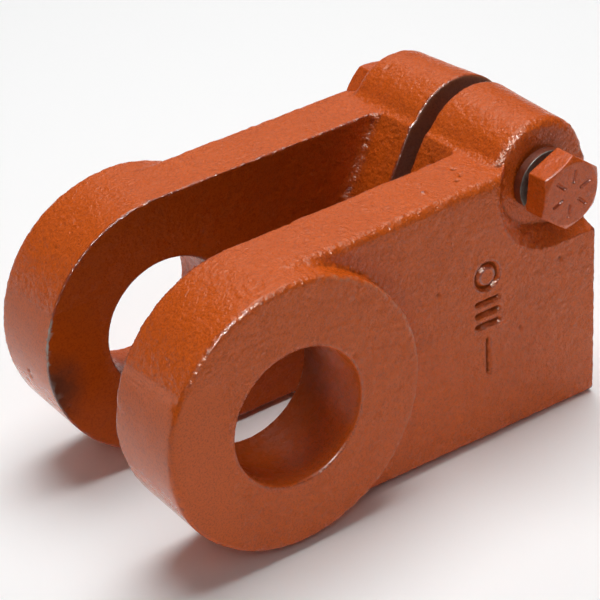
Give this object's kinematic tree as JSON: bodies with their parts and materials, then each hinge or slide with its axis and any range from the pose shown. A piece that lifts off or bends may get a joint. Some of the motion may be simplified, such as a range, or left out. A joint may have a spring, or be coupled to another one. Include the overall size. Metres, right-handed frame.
{
  "type": "split-hub rod clevis",
  "caption": "Cast rod-end clevis: two pin ears, and a split, threaded hub closed on the rod by a pinch bolt with lock washer and nut.",
  "frame": {"origin": "middle of the pin bore, halfway between the two ears", "axes": "+X from the pin bore to the threaded rod end, +Y along the pin bore and the pinch bolt towards the nut, +Z from the rod bore to the pinch bolt's barrel"},
  "size_m": [0.0975, 0.0622, 0.0613],
  "materials": {
    "painted_casting": "thick semi-gloss orange-brown enamel over rough sand-cast iron",
    "painted_fastener": "same semi-gloss orange-brown enamel over a smooth forged steel fastener",
    "washer_steel": "spring steel, painted over on the rim and bare grey along its edges"
  },
  "bodies": {
    "clevis": {"clevis_body": "painted_casting"},
    "bolt": {"pinch_bolt": "painted_fastener"},
    "washer": {"lock_washer": "washer_steel"},
    "nut": {"hex_nut": "painted_fastener"}
  },
  "joints": [
    {"name": "bolt_turn", "type": "hinge", "parent": "clevis", "child": "bolt", "pos_m": [0.0602, 0, 0.0222], "axis": [0, -1, 0], "range_deg": [0, 2160]},
    {"name": "nut_travel", "type": "slide", "parent": "clevis", "child": "nut", "axis": [0, 1, 0], "range_m": [0, 0.0085]},
    {"name": "washer_spin", "type": "hinge", "parent": "clevis", "child": "washer", "pos_m": [0.0602, 0, 0.0222], "axis": [0, 1, 0], "continuous": true}
  ],
  "couplings": [
    {"joint": "nut_travel", "follows": "bolt_turn", "m_per_rad": 0.00022458}
  ]
}
